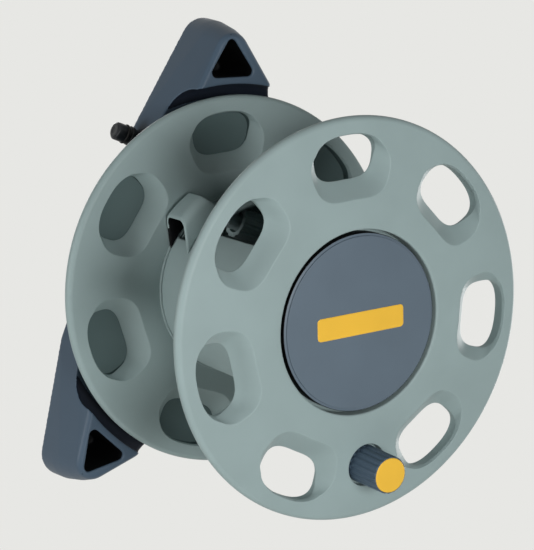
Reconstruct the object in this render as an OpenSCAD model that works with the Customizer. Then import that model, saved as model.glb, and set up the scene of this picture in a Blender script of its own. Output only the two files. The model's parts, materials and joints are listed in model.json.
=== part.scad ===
// Wall mounted hose reel: a drum between two flanges that turns on a hollow axle.
// The wall is the plane Y = 0, the reel's axis is the Y axis, and -Y points out of the wall.
// Every module draws in a frame whose Z is the distance out from the wall and whose Y is up.

/* [Flanges] */
// Outside diameter of both flanges
flange_d = 300; // [290:2:316]
// Distance between the front planes of the two rims
rim_pitch = 169; // [150:1:190]
// Radius of the rolled edge round a flange
rim_bead = 4.6; // [4:0.1:5.2]
// Wall of the flange mouldings
flange_wall = 3; // [2.6:0.1:3.4]
// How far a flange's face stands ahead of its rim plane at the hub
dome = 9.8; // [8:0.2:11]
// Height of the rib rings and boss collars behind a flange's web
web_rib = 9; // [6:0.5:11]

/* [Windows] */
// Number of windows in a flange
window_count = 7; // [5:1:7]
// Angle that the front flange's windows leave free for the knob
knob_gap = 63; // [60:0.2:80]
// Angle of the rear flange's first window
rear_turn = 14.1; // [0:0.1:51]
// Distance of the windows' centres from the flange's edge
window_inset = 29.4; // [28.5:0.1:31]
// Width of a window's hole along the rim
window_w = 51.6; // [46:0.2:56]
// Height of a window's hole across the flange
window_h = 33.2; // [29:0.2:35]
// Width of the scoop in front of a window
scoop_w = 72; // [68:1:75]
// Height of the scoop in front of a window
scoop_h = 46.8; // [44:0.2:48]
// How far the scoop's centre lies nearer to the hub than the hole's
scoop_shift = 6.1; // [5.5:0.1:6.5]
// Height of a window's back over the rim plane, below it
window_back = 4.5; // [4.2:0.1:5]
// Wall round a window
window_wall = 2.5; // [2:0.1:3]

/* [Drum] */
// Outside diameter of the drum
drum_d = 144; // [136:1:146]
// Wall of the drum
drum_wall = 3; // [2.4:0.1:4]
// Length of the drum's access opening
access_l = 85; // [60:1:95]
// Start angle of the access opening
access_from = 97.4; // [90:0.2:110]
// End angle of the access opening
access_to = 156; // [140:0.5:158]
// Height of the hose hood above the drum
hood_h = 20; // [16:0.5:22]
// Width of the hose hood along the axis
hood_w = 29; // [26:0.5:34]
// Wall of the hose hood
hood_wall = 2.4; // [2:0.1:3]
// Angle at which the hood's roof starts
hood_from = 144.4; // [142:0.2:147]
// Angle at which the hood's roof ends, over the mouth
hood_to = 159.6; // [157:0.2:162]

/* [Cap] */
// Distance from the drum's outside to the edge of the cap's recess
recess_step = 3.3; // [3.3:0.1:4.5]
// Gap between the cap and its recess
cap_gap = 2.6; // [1.5:0.1:4]
// Thickness of the centre cap
cap_t = 2.8; // [2.2:0.1:3.4]
// Depth of the recess below the flange's face
recess_depth = 12.8; // [12:0.2:15]
// Length of the blank bar on the cap
bar_l = 76; // [50:1:84]
// Width of the blank bar on the cap
bar_w = 17; // [10:0.5:22]
// Slant of the blank bar
bar_slant = 24.4; // [0:0.2:45]

/* [Knob] */
// Angle of the knob round the reel
knob_angle = 296.4; // [280:0.2:310]
// Distance of the knob's pin from the flange's edge
knob_inset = 40.5; // [38:0.5:43]
// Length of the knob
knob_l = 35.6; // [30:0.2:45]
// Diameter of the knob at its foot
knob_foot_d = 29; // [27:0.2:31]
// Diameter of the knob at its top
knob_top_d = 28; // [25:0.2:28.6]
// Number of flutes
flute_count = 18; // [12:1:24]
// Diameter of the knob's pin
knob_pin_d = 8; // [6:0.5:10]

/* [Bracket] */
// Distance from the wall to the rear rim's front plane
rear_rim_out = 56; // [54:0.5:62]
// Depth of the bracket's flat body
body_depth = 30; // [27:0.5:32]
// Depth of the bracket's two heads
head_depth = 57; // [50:0.5:62]
// Wall of the bracket moulding
bracket_wall = 3.5; // [2.8:0.1:4]
// Gap between a flange's rim and the heads' inner side
head_gap = 8.2; // [6:0.2:10]
// Run of the cove where the heads' inner side meets the body
cove_run = 16; // [10:0.5:18]
// Rise of the cove where the heads' inner side meets the body
cove_rise = 20; // [12:0.5:22]
// Distance of the wall screw holes above and below the axis
screw_up = 162; // [160:0.5:164]
// Distance of the wall screw holes to the left of the axis
screw_left = 68; // [66:0.5:69]
// Diameter of the wall screw holes
screw_hole_d = 6.5; // [4:0.5:8]
// Radius of the body's round end behind the hub
hub_disc_r = 80; // [60:1:90]
// Thickness of a rib in the body
rib_t = 2.5; // [1.6:0.1:3.5]

/* [Water path] */
// Height of the inlet above the axis
inlet_up = 82; // [76:1:88]
// Distance of the inlet and feed pipe from the wall
inlet_out = 15; // [14.5:0.1:15.5]
// Outside diameter of the feed pipe
pipe_d = 14; // [12:0.5:15]
// Wall of the feed pipe
pipe_wall = 2.2; // [1.6:0.1:3]
// Radius of the feed pipe's bend
pipe_bend = 30; // [24:1:40]
// Outside diameter of the hollow axle
axle_d = 24; // [22:0.5:26]
// Bore of the hollow axle
axle_bore = 12; // [10:0.5:13]
// Diameter of the spigots' nose
nose_d = 14.4; // [12:0.1:14.6]
// Length of the spigots' nose
nose_l = 6; // [5:0.5:9]

/* [Hidden] */

$fn = 96;
// Points round a window's outline and sides of the circles that are hulled
outline_steps = 36;
bead_steps = 10;
hull_sides = 32;
// Thin layer between which hulls are spanned, and overlap of cuts past a face
skin = 0.01;
over = 1;
// Gap under a clamped face, gap of a seat, radial gap of a fit, and radial running gap of a bearing
touch = 0.02;
seat = 0.1;
fit = 0.1;
run = 0.06;
// Radial gap of a pressed bush
bore_fit = 0.08;
// Gap between pieces that pass each other
pass = 0.4;

// Colours
grey_green = "#96a6a4";
dark_blue = "#47525d";
cap_blue = "#5f6c76";
black = "#1c1f22";
yellow = "#ecb83c";
steel = "#b4b8bb";
white = "#d9dbd6";

// Flange face
flange_r = flange_d / 2;
dome_power = 1.8;
dome_steps = 10;
drum_r = drum_d / 2;
drum_in = drum_r - drum_wall;
face_in = drum_r - recess_step;
face_out = flange_r - rim_bead;
bead_ahead = 0.6;
bead_turn = -62;
face_edge = bead_ahead + rim_bead;
front_rim_out = rear_rim_out + rim_pitch;
window_r = flange_r - window_inset;
window_power = 2.9;
hole_hub_h = -3.8;
hole_rim_h = 4;
hole_rise_power = 2.1;
blind_floor = -4.4;
scoop_hub_power = 3.2;
scoop_rim_power = 2;
web_seat = dome - recess_depth;
web_back = web_seat - flange_wall;
lip = 1.2;

// Windows: in front the free angle for the knob, then equal steps; behind equal steps all round
front_pitch = (360 - knob_gap) / (window_count - 1);
front_angles = [for (i = [0:window_count - 1]) knob_angle + knob_gap / 2 + i * front_pitch];
rear_angles = [for (i = [0:window_count - 1]) rear_turn + i * 360 / window_count];

// Bearings and axle stations, as distances out from the wall
axle_r = axle_d / 2;
bush_in = axle_r + run;
bush_wall = 3;
bush_out = bush_in + bush_wall;
bush_collar = 1.5;
bush_collar_r = bush_out + bush_wall;
hub_boss_out = 40;
hub_boss_r = 34;
washer_t = 2;
rear_collar_out = hub_boss_out + washer_t + pass;
rear_boss_back = rear_collar_out + bush_collar;
rear_face_out = rear_rim_out + dome;
rear_boss_front = rear_face_out + seat;
rear_web_out = rear_rim_out + dome - flange_wall;
front_web_out = front_rim_out + web_seat;
front_web_back = front_rim_out + web_back;
front_boss_back = front_web_back - web_rib * 2;
boss_r = bush_out + 4;
union_boss_r = 30;
nut_t = 5;
nut_d = 34;
front_collar_out = front_web_out + bush_collar;
axle_washer_out = front_collar_out + pass;
axle_nut_out = axle_washer_out + washer_t;
axle_end = axle_nut_out + nut_t;

// Axle's foot and the well behind the hub
cover_t = 3;
well_r = 30.2;
foot_r = 28;
foot_t = 4;
foot_screw_r = 22;
foot_screw_count = 4;
foot_screw_turn = 45;
well_top = body_depth - bracket_wall;
foot_out = well_top - foot_t;
root_r = 14;
root_floor = 3;
root_back = cover_t + 2;
socket_r = pipe_d / 2 + 2.6;
socket_depth = 12;
socket_top = 23;
port_r = 3;
port_count = 4;

// Screws
screw_r = 1.9;
screw_hole = 2;
screw_head_r = 3.7;
screw_head_t = 2.4;
drive_r = 1.9;
drive_depth = 1.2;
drum_screw_r = face_in - 8.7;
drum_screw_count = 6;
drum_screw_turn = 10;
rib_turn = drum_screw_turn + 180 / drum_screw_count;
drum_post_r = 4.5;
drum_post_l = 18;
drum_screw_l = 15;
rear_free_place = 2;
foot_screw_l = 13;

// Drum
drum_back = rear_face_out + seat;
drum_front = front_web_back - seat;
drum_l = drum_front - drum_back;
access_shift = 7;
access_mid = (drum_back + drum_front) / 2 + access_shift;
ring_h = 4;

// Hood
hood_back = drum_back + pass;
hood_front = hood_back + hood_w;
hood_r = drum_r + hood_h;
hood_mouth = 15;
hood_heel = 6;
hood_round = 7;
hood_foot = 0.15;

// Outlet union
union_back = rear_boss_front + seat;
union_plate = 4;
union_r = axle_r + 7;
union_l = 32;
union_front = union_back + union_l;
port_out = union_back + 17;
chamber_r = axle_r + 2.5;
chamber_l = 7;
oring_gap = 8;
oring_wire = 0.85;
oring_groove_w = 2.2;
oring_groove_depth = 1.7;
riser_r = 8.5;
riser_bore = 5;
outlet_up = 44;
thread_from = 10.5;
thread_r = 9.2;
thread_l = 9;
tail_l = 22;
tail_r = 6.1;
barb_r = 6.8;
barb_count = 3;
tail_bore = 4;
hose_room_r = 8.7;
union_screw_r = 24;
union_screw_count = 4;
union_screw_turn = 45;
union_screw_l = 14;
nut_r = 12.5;
nut_l = 22;
nut_lip = 2;
nut_ridges = 12;
nut_ridge_r = 1.8;

// Inlet spigot's profile
nose_r = nose_d / 2;
spigot_bore = 4;
spigot_collar_r = nose_r + 0.6;
spigot_neck_r = nose_r - 0.6;
spigot_collar_l = 3;
spigot_step_l = 2;
spigot_ring_l = 2.5;
spigot_groove_depth = 1.5;
spigot_chamfer = 1;
spigot_neck_l = 6.5;
plug_l = 7;
plug_head_t = 0.8;
plug_dish = 0.5;

// Inlet through the bracket's side wall
side_left = 102;
side_draft = 3.8;
void_left = side_left - side_draft - bracket_wall;
inlet_flange_r = pipe_d / 2 + 3.2;
inlet_flange_t = 2.4;
inlet_socket_r = pipe_d / 2 + 2.4;
inlet_socket_l = 15;
inlet_hole_r = nose_r + 1.1;
inlet_flange_left = void_left - seat;
inlet_spacer_l = bracket_wall + side_draft / 2;
retainer_t = 2;
retainer_w = 26;
retainer_left = inlet_flange_left - inlet_flange_t - seat - retainer_t;
inlet_rib_left = retainer_left - seat - rib_t;

// Centre cap
cap_r = face_in - cap_gap;
cap_front = front_rim_out + dome;
cap_back = cap_front - cap_t;
cap_skirt = 1.6;
cap_edge = 1.2;
cap_post_r = 38;
cap_post_count = 3;
cap_post_turn = 20;
cap_post_end = 2;
post_r = 3;
bar_t = 1.2;
bar_sink = 0.8;
bar_corner = 3;

// Knob
knob_floor_h = 1.5;
knob_seat_out = front_rim_out + knob_floor_h;
knob_recess_r = knob_foot_d / 2 + 1.7;
knob_boss_r = knob_recess_r + 2.6;
knob_boss_back = -8;
knob_r = flange_r - knob_inset;
knob_back = knob_seat_out + pass;
knob_front = knob_back + knob_l;
knob_collar_l = 5;
knob_cap_t = 2.6;
knob_cap_r = knob_top_d / 2 - 1;
knob_cap_proud = 0.6;
knob_web_t = 5;
knob_web_back = 14;
knob_shell = 2.6;
knob_wall = 4.2;
flute_r = 1.3;
flute_sink = 0.55;
knob_pin_r = knob_pin_d / 2;
pin_head_r = 7.5;
pin_head_t = 2;
pin_flange_t = 3;
pin_nut_r = 7;
pin_nut_t = 4;
pin_neck_r = knob_pin_r - 1.4;
pin_neck_l = 3;
pin_top = knob_back + knob_web_back + knob_web_t + pass;
knob_sleeve_r = 7;
knob_sleeve_back = pin_flange_t + pass;

// Bracket outlines: each corner is [left of the axis, up, radius], and may have a lean, by which
// the upper corner lies further right and the lower one further left
inner_lean = 3.6;
groove_r = flange_r + head_gap;
body_draft = 3;
apex = [66.3, 175.3];
shoulder = [24.6, 150];
side_corner = [side_left - 11, 86];
// Outlines at distances from the wall: first the body's corners, then the heads'
body_levels = [
  [0, [[apex[0], apex[1], 20.3], [shoulder[0], shoulder[1], 13.5, inner_lean],
    [side_corner[0], side_corner[1], 11.3]]],
  [body_depth, [[67, 173, 18.8], [shoulder[0], shoulder[1], 11.5, inner_lean],
    [side_corner[0], side_corner[1], 7.5]]]];
head_levels = [
  [0.35, [[66.4, 174.4, 19.6], [84.2, 129, 8.5], [29.6, 153, 7, inner_lean]]],
  [0.7, [[67, 172, 17.7], [84, 130, 5.5], [30.6, 154.5, 5.5, inner_lean]]],
  [0.95, [[68, 170, 15.2], [84, 131, 4], [31.8, 156.2, 3.6, inner_lean]]],
  [1, [[68, 170, 12.4], [84, 131, 1.4], [31.6, 156, 1, inner_lean]]]];
well_corners = [[72, 175.2, 4.2], [76.9, 150, 4.2], [50.2, 160.9, 4.2]];
well_floor = 6;
void_corners = [[void_left - 10, inlet_up + 11, 10], [66, 118, 10], [22, 132, 10]];
rib_ups = [32, 108];
rib_left = 52;
tunnel_r = pipe_d / 2 + 1.2;
boss_ring_r = 8;
boss_ring_h = 4;

// Draws in the frame whose Z is the distance out from the wall
module out_of_wall() rotate([90, 0, 0]) children();

// Height of a flange's face above its rim plane at a radius
function face_h(r) =
  let (t = max(0, (r - face_in) / (face_out - face_in)))
  face_edge + (dome - face_edge) * (1 - pow(min(1, t), dome_power));

// Outline of round shape centred on the up direction and bent round the axis
function round_window(w, h, shift, hub_power, rim_power) =
  [for (i = [0:outline_steps - 1])
    let (t = 360 * (i + 0.5) / outline_steps)
    let (p = 2 / (sin(t) < 0 ? hub_power : rim_power))
    let (u = w / 2 * sign(cos(t)) * pow(abs(cos(t)), p))
    let (v = h / 2 * sign(sin(t)) * pow(abs(sin(t)), p) - shift)
    let (a = u / window_r * 180 / PI)
    [(window_r + v) * sin(a), (window_r + v) * cos(a)]];

window_outline = round_window(window_w, window_h, 0, window_power, window_power);
scoop_outline = round_window(scoop_w, scoop_h, scoop_shift, scoop_hub_power, scoop_rim_power);

// Height of the hole's front edge: low towards the hub, as high as the face towards the rim
function hole_h(p) =
  let (t = (norm(p) - window_r) / window_h + 0.5)
  hole_hub_h + (hole_rim_h - hole_hub_h) * pow(min(1, max(0, t)), hole_rise_power);

function unit(v) = v / norm(v);

// A counter-clockwise outline whose sides are all moved outwards by the same distance
function grown(p, d) =
  [for (i = [0:len(p) - 1])
    let (a = unit(p[i] - p[(i + len(p) - 1) % len(p)]))
    let (b = unit(p[(i + 1) % len(p)] - p[i]))
    p[i] + d / (1 + a * b) * [a[1] + b[1], -a[0] - b[0]]];

// Angle of the outward normal where two circles of an outline share a tangent
function tangent_normal(a, b) =
  let (d = b - a)
  atan2(d[1], d[0]) - 90 + asin((a[2] - b[2]) / norm([d[0], d[1]]));

// Outline round circles [x, y, radius] that are listed counter-clockwise
function round_outline(c, steps = 6) =
  [for (i = [0:len(c) - 1])
    let (before = tangent_normal(c[(i + len(c) - 1) % len(c)], c[i]))
    let (after = tangent_normal(c[i], c[(i + 1) % len(c)]))
    let (turn = (after - before + 720) % 360)
    for (k = [0:steps])
      let (a = before + turn * k / steps)
      [c[i][0] + c[i][2] * cos(a), c[i][1] + c[i][2] * sin(a)]];

module tube(r_out, r_in, l) {
  difference() {
    cylinder(h = l, r = r_out);
    translate([0, 0, -over]) cylinder(h = l + 2 * over, r = r_in);
  }
}

module at_knob(z) rotate(knob_angle) translate([knob_r, 0, z]) children();

module around(count, turn = 0) {
  for (i = [0:count - 1]) rotate(turn + i * 360 / count) children();
}

// A pan head screw whose head rests on Z = 0 and whose shank goes down
module screw(l) {
  difference() {
    union() {
      translate([0, 0, -l]) cylinder(h = l + skin, r = screw_r);
      cylinder(h = screw_head_t, r = screw_head_r);
    }
    translate([0, 0, screw_head_t - drive_depth])
      for (a = [0, 90]) rotate(a) translate([-drive_r, -0.5, 0]) cube([2 * drive_r, 1, drive_depth + over]);
  }
}

// Section of a flange's shell, radius first and height above the rim plane second
function flange_section(inner_r) =
  let (n = dome_steps)
  let (m = bead_steps)
  concat(
    [for (i = [0:n - 1])
      let (r = inner_r + (face_out - inner_r) * i / n)
      [r, face_h(r)]],
    [for (i = [0:m])
      let (a = 90 + (bead_turn - 90) * i / m)
      [face_out + rim_bead * cos(a), bead_ahead + rim_bead * sin(a)]],
    [for (i = [0:m])
      let (a = bead_turn + (90 - bead_turn) * i / m)
      [face_out + (rim_bead - flange_wall) * cos(a), bead_ahead + (rim_bead - flange_wall) * sin(a)]],
    [for (i = [1:n])
      let (r = face_out - (face_out - inner_r) * i / n)
      [r, face_h(r) - flange_wall]]);

// Solid under a flange's face down to a height, with the slope of the scoops' hub side
module under_face(low) {
  scoop_in = window_r - scoop_shift - scoop_h / 2;
  hole_in = window_r - window_h / 2;
  d = unit([hole_in - scoop_in, hole_hub_h - face_h(scoop_in)]);
  drop = flange_wall * [d[1], -d[0]];
  top = [scoop_in, face_h(scoop_in)] + drop;
  run = (low - top[1]) / d[1] * d[0];
  rotate_extrude() polygon(concat(
    [[top[0], top[1]], [top[0] + run, low], [face_out - 1, low]],
    [for (i = [0:dome_steps])
      let (r = face_out - (face_out - top[0]) * i / dome_steps)
      [r, face_h(r) - flange_wall / 2]]));
}

module window_prism(angles, outline, grow, low, high) {
  for (a = angles) rotate(a - 90) translate([0, 0, low])
    linear_extrude(high - low) polygon(grown(outline, grow));
}

// The scoop in front of each window, from the hole's edge to just above the face
module window_scoops(angles) {
  mouth = grown(scoop_outline, over);
  points = concat([for (p = window_outline) [p[0], p[1], hole_h(p)]],
    [for (i = [0:outline_steps - 1]) [mouth[i][0], mouth[i][1], face_h(norm(scoop_outline[i])) + over]]);
  for (a = angles) rotate(a - 90) hull()
    polyhedron(points = points, faces = [[for (i = [0:len(points) - 1]) i]]);
}

// A flange with its windows, its rim plane at Z = 0
module flange_shell(inner_r, angles, blind) {
  back = blind ? blind_floor - window_wall : -window_back;
  difference() {
    union() {
      rotate_extrude() polygon(flange_section(inner_r));
      intersection() {
        window_prism(angles, scoop_outline, window_wall, back, dome);
        under_face(back);
      }
    }
    window_prism(angles, window_outline, 0, blind ? blind_floor : back - over, dome + over);
    window_scoops(angles);
  }
}

module rear_flange() {
  color(grey_green) out_of_wall() difference() {
    union() {
      translate([0, 0, rear_rim_out]) flange_shell(drum_in - 2, rear_angles, true);
      translate([0, 0, rear_web_out]) cylinder(h = flange_wall, r = drum_in - 1);
      translate([0, 0, rear_boss_back]) cylinder(h = rear_boss_front - rear_boss_back, r = boss_r);
      translate([0, 0, rear_web_out - web_rib / 2])
        cylinder(h = rear_boss_front - rear_web_out + web_rib / 2, r = union_boss_r);
      translate([0, 0, rear_web_out]) tube(drum_in - fit, drum_in - 2.5, flange_wall + ring_h);
      translate([0, 0, rear_web_out - web_rib])
        tube(drum_r, drum_r - flange_wall, web_rib + flange_wall / 2);
      around(drum_screw_count, rib_turn)
        translate([union_boss_r - 1, -rib_t / 2, rear_web_out - web_rib])
          cube([drum_in - union_boss_r, rib_t, web_rib + flange_wall / 2]);
    }
    translate([0, 0, rear_boss_back - over]) cylinder(h = axle_end, r = bush_out + bore_fit);
    at_union_screws(rear_web_out - web_rib) cylinder(h = axle_end, r = screw_hole);
    at_rear_screws(rear_web_out - over) cylinder(h = 2 * web_rib, r = screw_hole);
  }
}

// Room under the face for the knob's boss
module knob_room() {
  rotate_extrude() polygon(concat([[face_in, knob_boss_back], [face_out, knob_boss_back]],
    [for (i = [0:dome_steps])
      let (r = face_out - (face_out - face_in) * i / dome_steps)
      [r, face_h(r) - flange_wall / 2]]));
}

module front_flange() {
  color(grey_green) out_of_wall() difference() {
    union() {
      translate([0, 0, front_rim_out]) {
        difference() {
          union() {
            flange_shell(face_in, front_angles, false);
            intersection() {
              at_knob(knob_boss_back) cylinder(h = dome - knob_boss_back, r = knob_boss_r);
              knob_room();
            }
          }
          at_knob(knob_floor_h) cylinder(h = dome + over, r = knob_recess_r);
          at_knob(knob_boss_back - over) cylinder(h = dome - knob_boss_back, r = knob_pin_r + fit);
        }
        translate([0, 0, web_back]) tube(face_in + flange_wall, face_in, face_h(face_in) - web_back - lip);
        translate([0, 0, web_back]) cylinder(h = flange_wall, r = drum_r + 1);
      }
      translate([0, 0, front_boss_back]) cylinder(h = front_web_out - front_boss_back, r = boss_r);
      translate([0, 0, front_web_back - ring_h])
        tube(drum_in - fit, drum_in - 2.5, ring_h + flange_wall);
      around(drum_screw_count, rib_turn)
        translate([boss_r - 1, -rib_t / 2, front_web_back - web_rib])
          cube([drum_in - boss_r - fit - 1, rib_t, web_rib + flange_wall / 2]);
    }
    translate([0, 0, front_boss_back - over]) cylinder(h = axle_end, r = bush_out + bore_fit);
    at_front_screws(front_web_back - ring_h - over) cylinder(h = 2 * web_rib, r = screw_hole);
    around(cap_post_count, cap_post_turn) translate([cap_post_r, 0, front_web_back - over])
      cylinder(h = 2 * web_rib, r = post_r + fit);
  }
}

module bush(l) {
  translate([0, 0, -bush_collar]) tube(bush_out, bush_in, bush_collar + l);
  translate([0, 0, -bush_collar]) tube(bush_collar_r, bush_in, bush_collar - touch);
}

module rear_bush() {
  color(white) out_of_wall() translate([0, 0, rear_boss_back])
    bush(rear_boss_front - rear_boss_back);
}

module front_bush() {
  color(white) out_of_wall() translate([0, 0, front_web_out]) mirror([0, 0, 1])
    bush(front_web_out - front_boss_back);
}

// A slice of the drum's wall between two angles
module drum_slice(from, to, low, high) {
  translate([0, 0, low]) rotate(from) rotate_extrude(angle = to - from)
    translate([drum_in - over, 0]) square([drum_wall + 2 * over, high - low]);
}

module at_front_screws(z) {
  around(drum_screw_count, drum_screw_turn) translate([drum_screw_r, 0, z]) children();
}

// One place of the pattern stays free, for the hose nut
module at_rear_screws(z) {
  for (i = [0:drum_screw_count - 1]) if (i != rear_free_place)
    rotate(drum_screw_turn + i * 360 / drum_screw_count) translate([drum_screw_r, 0, z]) children();
}

// Screw post that starts at the drum's end and is tied to its wall past the locating ring
module drum_post() {
  cylinder(h = drum_post_l, r = drum_post_r);
  translate([0, -rib_t / 2, ring_h + pass])
    cube([drum_in - drum_screw_r + drum_wall / 2, rib_t, drum_post_l - ring_h - pass]);
}

module drum() {
  color(grey_green) out_of_wall() difference() {
    union() {
      translate([0, 0, drum_back]) tube(drum_r, drum_in, drum_l);
      at_rear_screws(drum_back) drum_post();
      at_front_screws(drum_front) mirror([0, 0, 1]) drum_post();
    }
    drum_slice(access_from, access_to, access_mid - access_l / 2, access_mid + access_l / 2);
    drum_slice(hood_from + hood_heel, hood_to + hood_heel, hood_back + hood_wall, hood_front - hood_wall);
    at_rear_screws(drum_back - over) cylinder(h = drum_screw_l + 2 * over, r = screw_hole);
    at_front_screws(drum_front + over) mirror([0, 0, 1])
      cylinder(h = drum_screw_l + 2 * over, r = screw_hole);
  }
}

// Section of the hood: outer shape or inner channel, with round upper corners
module hood_section(inset) {
  w = hood_w - 2 * inset;
  top = hood_h - inset;
  c = hood_round - inset;
  translate([drum_r, inset]) polygon(concat(
    [[inset > 0 ? -over : hood_foot, 0], [top - c, 0]],
    [for (a = [-75:15:0]) [top - c + c * cos(a), c + c * sin(a)]],
    [for (a = [0:15:90]) [top - c + c * cos(a), w - c + c * sin(a)]],
    [[inset > 0 ? -over : hood_foot, w]]));
}

// Half-plane beyond a slanted end of the hood, from a roof angle to a foot angle
module hood_end(roof, foot) {
  a = [hood_r * cos(roof), hood_r * sin(roof)];
  b = [drum_r * cos(foot), drum_r * sin(foot)];
  d = (a - b) / norm(a - b);
  side = sign(foot - roof);
  n = [-d[1], d[0]] * side;
  reach = 40;
  translate([0, 0, hood_back - over]) linear_extrude(hood_w + 2 * over)
    polygon([a + d * reach, b - d * reach, b - d * reach + n * reach, a + d * reach + n * reach]);
}

module hose_hood() {
  heel = hood_from - hood_heel;
  toe = hood_to + hood_mouth;
  color(grey_green) out_of_wall() difference() {
    translate([0, 0, hood_back]) rotate(heel) rotate_extrude(angle = toe - heel) hood_section(0);
    difference() {
      translate([0, 0, hood_back]) rotate(heel - 1) rotate_extrude(angle = toe - heel + 2)
        hood_section(hood_wall);
      hood_end(hood_from + 2, heel + 3);
    }
    hood_end(hood_to, toe);
    hood_end(hood_from, heel);
  }
}

// Spigot along +Z from its root: neck, collar, step, ring groove and nose
module spigot_solid() {
  z1 = spigot_neck_l;
  z2 = z1 + spigot_collar_l;
  z3 = z2 + spigot_step_l;
  z4 = z3 + spigot_ring_l;
  z5 = z4 + spigot_step_l + nose_l;
  groove = nose_r - spigot_groove_depth;
  rotate_extrude() polygon([[spigot_bore, 0], [spigot_neck_r, 0], [spigot_neck_r, z1],
    [spigot_collar_r, z1], [spigot_collar_r, z2], [spigot_neck_r, z2], [spigot_neck_r, z3 - 1],
    [nose_r, z3 - 1], [nose_r, z3], [groove, z3], [groove, z4], [nose_r, z4],
    [nose_r, z5 - spigot_chamfer], [nose_r - spigot_chamfer, z5], [spigot_bore, z5]]);
}

module spigot_ring() {
  z = spigot_neck_l + spigot_collar_l + spigot_step_l + spigot_ring_l / 2;
  wire = spigot_ring_l / 2 - 0.15;
  translate([0, 0, z]) rotate_extrude()
    translate([nose_r - spigot_groove_depth + wire + touch, 0]) circle(r = wire, $fn = 32);
}

// Places along -X, at the inlet
module at_inlet(left) translate([-left, inlet_up, inlet_out]) rotate([0, -90, 0]) children();

module inlet_connector() {
  color(black) out_of_wall() difference() {
    union() {
      at_inlet(side_left) spigot_solid();
      at_inlet(inlet_flange_left) cylinder(h = side_left - inlet_flange_left + skin, r = spigot_neck_r);
      at_inlet(inlet_flange_left - skin) cylinder(h = inlet_spacer_l, r = inlet_hole_r - fit);
      at_inlet(inlet_flange_left - inlet_flange_t)
        cylinder(h = inlet_flange_t, r = inlet_flange_r);
      at_inlet(inlet_flange_left - inlet_flange_t - inlet_socket_l)
        cylinder(h = inlet_socket_l + skin, r = inlet_socket_r);
    }
    at_inlet(inlet_flange_left - inlet_flange_t - inlet_socket_l - over)
      cylinder(h = socket_depth + over, r = pipe_d / 2 + fit);
    at_inlet(inlet_flange_left - inlet_flange_t - inlet_socket_l)
      cylinder(h = 2 * side_left, r = spigot_bore);
  }
}

// Transport plug in the nose, with a dished head on the nose's end
module inlet_plug() {
  nose_end = spigot_neck_l + spigot_collar_l + 2 * spigot_step_l + spigot_ring_l + nose_l;
  head_r = nose_r - spigot_chamfer;
  color(black) out_of_wall() at_inlet(side_left + nose_end) rotate_extrude()
    polygon([[0, -plug_l], [spigot_bore - fit, -plug_l], [spigot_bore - fit, touch], [head_r, touch],
      [head_r, plug_head_t - plug_dish], [head_r - plug_dish, plug_head_t],
      [spigot_bore, plug_head_t], [spigot_bore - plug_dish, plug_head_t - plug_dish],
      [0, plug_head_t - plug_dish]]);
}

module inlet_o_ring() {
  color(black) out_of_wall() at_inlet(side_left) spigot_ring();
}

// Plate with a slot that drops over the socket, between the inlet's flange and a rib
module inlet_retainer() {
  reach = inlet_out + socket_r;
  color(steel) out_of_wall() at_inlet(retainer_left) difference() {
    translate([-inlet_socket_r - 2, -retainer_w / 2, 0])
      cube([well_top - inlet_out - seat + inlet_socket_r + 2, retainer_w, retainer_t]);
    translate([0, 0, -over]) cylinder(h = retainer_t + 2 * over, r = inlet_socket_r + fit);
    translate([0, -inlet_socket_r - fit, -over])
      cube([reach, 2 * (inlet_socket_r + fit), retainer_t + 2 * over]);
  }
}

pipe_start_left = inlet_flange_left - inlet_flange_t - inlet_socket_l + socket_depth - 1;

// Route of the feed pipe with a given radius: a level run, a bend and a drop to the axle
module pipe_route(r) {
  translate([0, socket_top - socket_depth + 1, inlet_out]) rotate([-90, 0, 0])
    cylinder(h = inlet_up - pipe_bend - socket_top + socket_depth - 1 + skin, r = r);
  translate([-pipe_bend, inlet_up - pipe_bend, inlet_out]) rotate_extrude(angle = 90)
    translate([pipe_bend, 0]) circle(r = r);
  translate([-pipe_bend + skin, inlet_up, inlet_out]) rotate([0, -90, 0])
    cylinder(h = pipe_start_left - pipe_bend, r = r);
}

module feed_pipe() {
  color(black) out_of_wall() difference() {
    pipe_route(pipe_d / 2);
    pipe_route(pipe_d / 2 - pipe_wall);
    translate([0, 0, inlet_out]) rotate([-90, 0, 0]) cylinder(h = socket_top, r = pipe_d / 2 - pipe_wall);
    translate([-pipe_bend, inlet_up, inlet_out]) rotate([0, -90, 0])
      cylinder(h = side_left, r = pipe_d / 2 - pipe_wall);
  }
}

module axle() {
  color(dark_blue) out_of_wall() difference() {
    union() {
      translate([0, 0, root_back]) cylinder(h = foot_out - root_back + skin, r = root_r);
      translate([0, 0, foot_out]) cylinder(h = foot_t, r = foot_r);
      translate([0, 0, foot_out]) cylinder(h = axle_end - foot_out, r = axle_r);
      translate([0, 0, inlet_out]) rotate([-90, 0, 0]) cylinder(h = socket_top, r = socket_r);
    }
    translate([0, 0, root_back + root_floor])
      cylinder(h = port_out + port_r + 2 - root_back - root_floor, r = axle_bore / 2);
    translate([0, 0, port_out + port_r + 2 + flange_wall]) cylinder(h = axle_end, r = axle_bore / 2);
    translate([0, socket_top - socket_depth, inlet_out]) rotate([-90, 0, 0])
      cylinder(h = socket_top, r = pipe_d / 2 + fit);
    translate([0, 0, inlet_out]) rotate([-90, 0, 0]) cylinder(h = socket_top, r = pipe_d / 2 - pipe_wall);
    around(foot_screw_count, foot_screw_turn) translate([foot_screw_r, 0, 0])
      cylinder(h = hub_boss_out, r = screw_hole);
    around(port_count) translate([0, 0, port_out]) rotate([0, 90, 0]) cylinder(h = 2 * axle_r, r = port_r);
    for (s = [-1, 1]) translate([0, 0, port_out + s * oring_gap - oring_groove_w / 2])
      tube(2 * axle_r, axle_r - oring_groove_depth, oring_groove_w);
  }
}

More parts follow.
